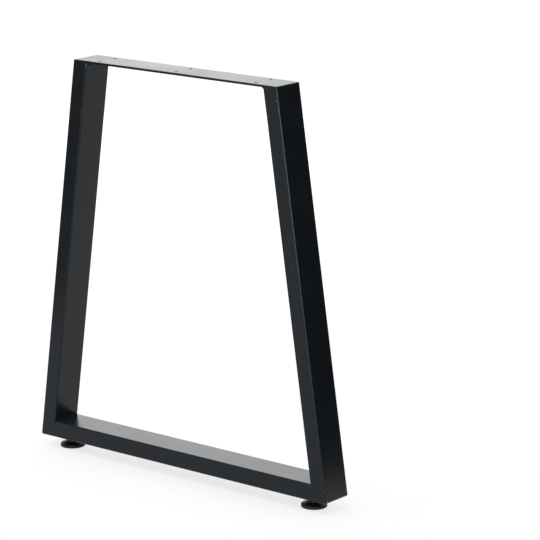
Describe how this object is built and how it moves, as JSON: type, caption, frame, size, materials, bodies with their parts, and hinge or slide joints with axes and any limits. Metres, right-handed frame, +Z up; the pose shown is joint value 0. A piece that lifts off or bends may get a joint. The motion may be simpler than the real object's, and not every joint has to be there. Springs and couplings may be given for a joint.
{
  "type": "table leg",
  "caption": "Trapezoid table leg: splayed uprights and a bottom rail of welded rectangular steel tube, a screw-on plate along the top, and screw levelling feet below.",
  "frame": {"origin": "on the floor under the middle of the leg, halfway along its width and through its depth", "axes": "+X along the leg's width to the right seen from the front, +Y through its depth to the back, +Z up"},
  "size_m": [0.659, 0.06, 0.72],
  "materials": {
    "frame_coat": "satin black powder coat on steel",
    "zinc_steel": "bright zinc plated",
    "foot_plastic": "semi-gloss moulded black nylon",
    "pad_rubber": "matt black rubber"
  },
  "bodies": {
    "frame": {"left_upright": "frame_coat", "right_upright": "frame_coat", "bottom_rail": "frame_coat", "top_plate": "frame_coat", "left_plate_weld": "frame_coat", "right_plate_weld": "frame_coat", "left_corner_weld": "frame_coat", "right_corner_weld": "frame_coat", "left_insert": "zinc_steel", "right_insert": "zinc_steel"},
    "left_foot": {"left_foot_base": "foot_plastic", "left_foot_pad": "pad_rubber"},
    "right_foot": {"right_foot_base": "foot_plastic", "right_foot_pad": "pad_rubber"},
    "left_stud": {"left_foot_stud": "zinc_steel"},
    "right_stud": {"right_foot_stud": "zinc_steel"}
  },
  "joints": [
    {"name": "left_foot_height", "type": "slide", "parent": "frame", "child": "left_foot", "axis": [0, 0, -1], "range_m": [0, 0.012]},
    {"name": "right_foot_height", "type": "slide", "parent": "frame", "child": "right_foot", "axis": [0, 0, -1], "range_m": [0, 0.012]},
    {"name": "left_stud_turn", "type": "hinge", "parent": "left_foot", "child": "left_stud", "pos_m": [-0.28, 0, 0.0158], "axis": [0, 0, -1], "range_deg": [0, 3456]},
    {"name": "right_stud_turn", "type": "hinge", "parent": "right_foot", "child": "right_stud", "pos_m": [0.28, 0, 0.0158], "axis": [0, 0, -1], "range_deg": [0, 3456]}
  ],
  "couplings": [
    {"joint": "left_stud_turn", "follows": "left_foot_height", "rad_per_m": 5026.5},
    {"joint": "right_stud_turn", "follows": "right_foot_height", "rad_per_m": 5026.5}
  ]
}
